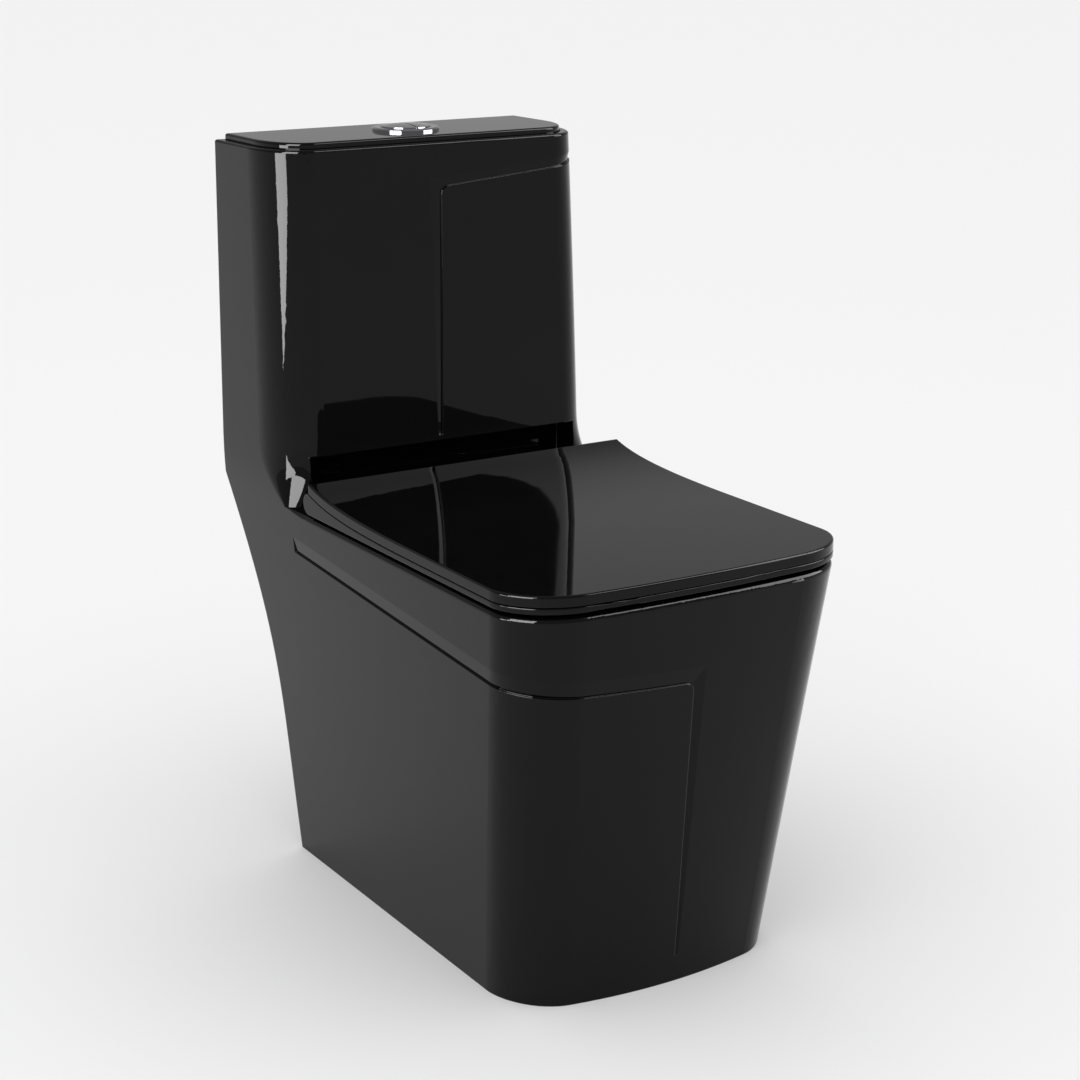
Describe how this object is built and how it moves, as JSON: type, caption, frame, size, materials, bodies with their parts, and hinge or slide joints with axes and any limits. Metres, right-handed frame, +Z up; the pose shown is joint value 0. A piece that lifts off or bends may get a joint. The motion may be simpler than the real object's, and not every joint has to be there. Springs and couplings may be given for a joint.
{
  "type": "one-piece toilet",
  "caption": "Floor-standing one-piece toilet with a straight skirted pan, slim hinged seat and cover, loose cistern lid and split push button with its valves inside.",
  "frame": {"origin": "centre of the bounding box's underside, on the floor midway between the bowl's front and the wall", "axes": "+Z up, -Y towards the front of the bowl, +Y towards the wall, X across"},
  "size_m": [0.3704, 0.62, 0.773],
  "materials": {
    "black_glaze": "gloss",
    "black_seat": "gloss",
    "bright_chrome": "polished",
    "steel": "satin",
    "brass_nut": "satin",
    "white_moulding": "matte",
    "blue_moulding": "matte",
    "grey_moulding": "matte",
    "grey_rubber": "matte",
    "black_rubber": "matte",
    "clear_rubber": "satin"
  },
  "bodies": {
    "pan": {"ceramic_pan": "black_glaze", "ceramic_tank": "black_glaze", "ceramic_tank_foot": "black_glaze", "ceramic_bowl": "black_glaze", "ceramic_sump": "black_glaze", "ceramic_trapway": "black_glaze", "ceramic_flush_duct": "black_glaze", "flush_valve_gasket": "grey_rubber", "flush_valve_base": "white_moulding", "flush_valve_bolts": "steel", "flush_valve_nuts": "brass_nut", "flush_tower": "white_moulding", "rocker_pin": "steel", "overflow_tube": "white_moulding", "fill_valve_body": "white_moulding", "fill_valve_washer": "grey_rubber", "fill_valve_nut": "white_moulding", "fill_valve_cap": "blue_moulding", "refill_elbow": "white_moulding", "float_lever_pin": "steel", "hinge_posts": "steel", "hinge_pins": "steel", "seat_studs": "steel", "seat_sleeves": "grey_rubber", "seat_nuts": "white_moulding"},
    "lid": {"cistern_lid": "black_glaze", "lid_pads": "clear_rubber", "button_housing": "bright_chrome", "button_lock_nut": "white_moulding", "half_button_spring": "steel", "full_button_spring": "steel"},
    "half_button": {"half_flush_button": "bright_chrome", "half_push_rod": "white_moulding"},
    "full_button": {"full_flush_button": "bright_chrome", "full_push_rod": "white_moulding"},
    "lift_rocker": {"lift_rocker": "grey_moulding"},
    "flush_piston": {"flush_piston": "blue_moulding", "flush_seal": "grey_rubber"},
    "half_trip": {"half_flush_trip": "grey_moulding"},
    "float": {"float_cup": "blue_moulding"},
    "float_lever": {"float_lever": "white_moulding"},
    "seat_ring": {"seat_ring": "black_seat", "ring_buffers": "black_rubber"},
    "seat_cover": {"seat_cover": "black_seat", "cover_buffers": "black_rubber"}
  },
  "joints": [
    {"name": "lid_lift", "type": "slide", "parent": "pan", "child": "lid", "axis": [0, 0, 1], "range_m": [0, 0.16]},
    {"name": "half_flush_press", "type": "slide", "parent": "lid", "child": "half_button", "axis": [0, 0, -1], "range_m": [0, 0.007], "stiffness_N_per_m": 300, "springref_m": -0.005, "deforming": ["half_button_spring"]},
    {"name": "full_flush_press", "type": "slide", "parent": "lid", "child": "full_button", "axis": [0, 0, -1], "range_m": [0, 0.007], "stiffness_N_per_m": 300, "springref_m": -0.005, "deforming": ["full_button_spring"]},
    {"name": "piston_lift", "type": "slide", "parent": "pan", "child": "flush_piston", "axis": [0, 0, 1], "range_m": [0, 0.017]},
    {"name": "rocker_swing", "type": "hinge", "parent": "pan", "child": "lift_rocker", "pos_m": [-0.001, 0.24, 0.62], "axis": [0, 1, 0], "range_deg": [0, 30.5]},
    {"name": "trip_slide", "type": "slide", "parent": "pan", "child": "half_trip", "axis": [0, 0, -1], "range_m": [0, 0.0075]},
    {"name": "float_rise", "type": "slide", "parent": "pan", "child": "float", "axis": [0, 0, 1], "range_m": [0, 0.012]},
    {"name": "lever_swing", "type": "hinge", "parent": "pan", "child": "float_lever", "pos_m": [-0.096, 0.213, 0.703], "axis": [0, 1, 0], "range_deg": [0, 21.5]},
    {"name": "seat_ring_hinge", "type": "hinge", "parent": "pan", "child": "seat_ring", "pos_m": [0, 0.111, 0.4165], "axis": [1, 0, 0], "range_deg": [-93, 0]},
    {"name": "cover_hinge", "type": "hinge", "parent": "seat_ring", "child": "seat_cover", "pos_m": [0, 0.111, 0.4165], "axis": [-1, 0, 0], "range_deg": [0, 95]}
  ],
  "couplings": [
    {"joint": "piston_lift", "follows": "full_flush_press", "ratio": 2.3},
    {"joint": "rocker_swing", "follows": "full_flush_press", "rad_per_m": 74.8},
    {"joint": "trip_slide", "follows": "half_flush_press", "ratio": 1},
    {"joint": "lever_swing", "follows": "float_rise", "rad_per_m": 30.9}
  ]
}
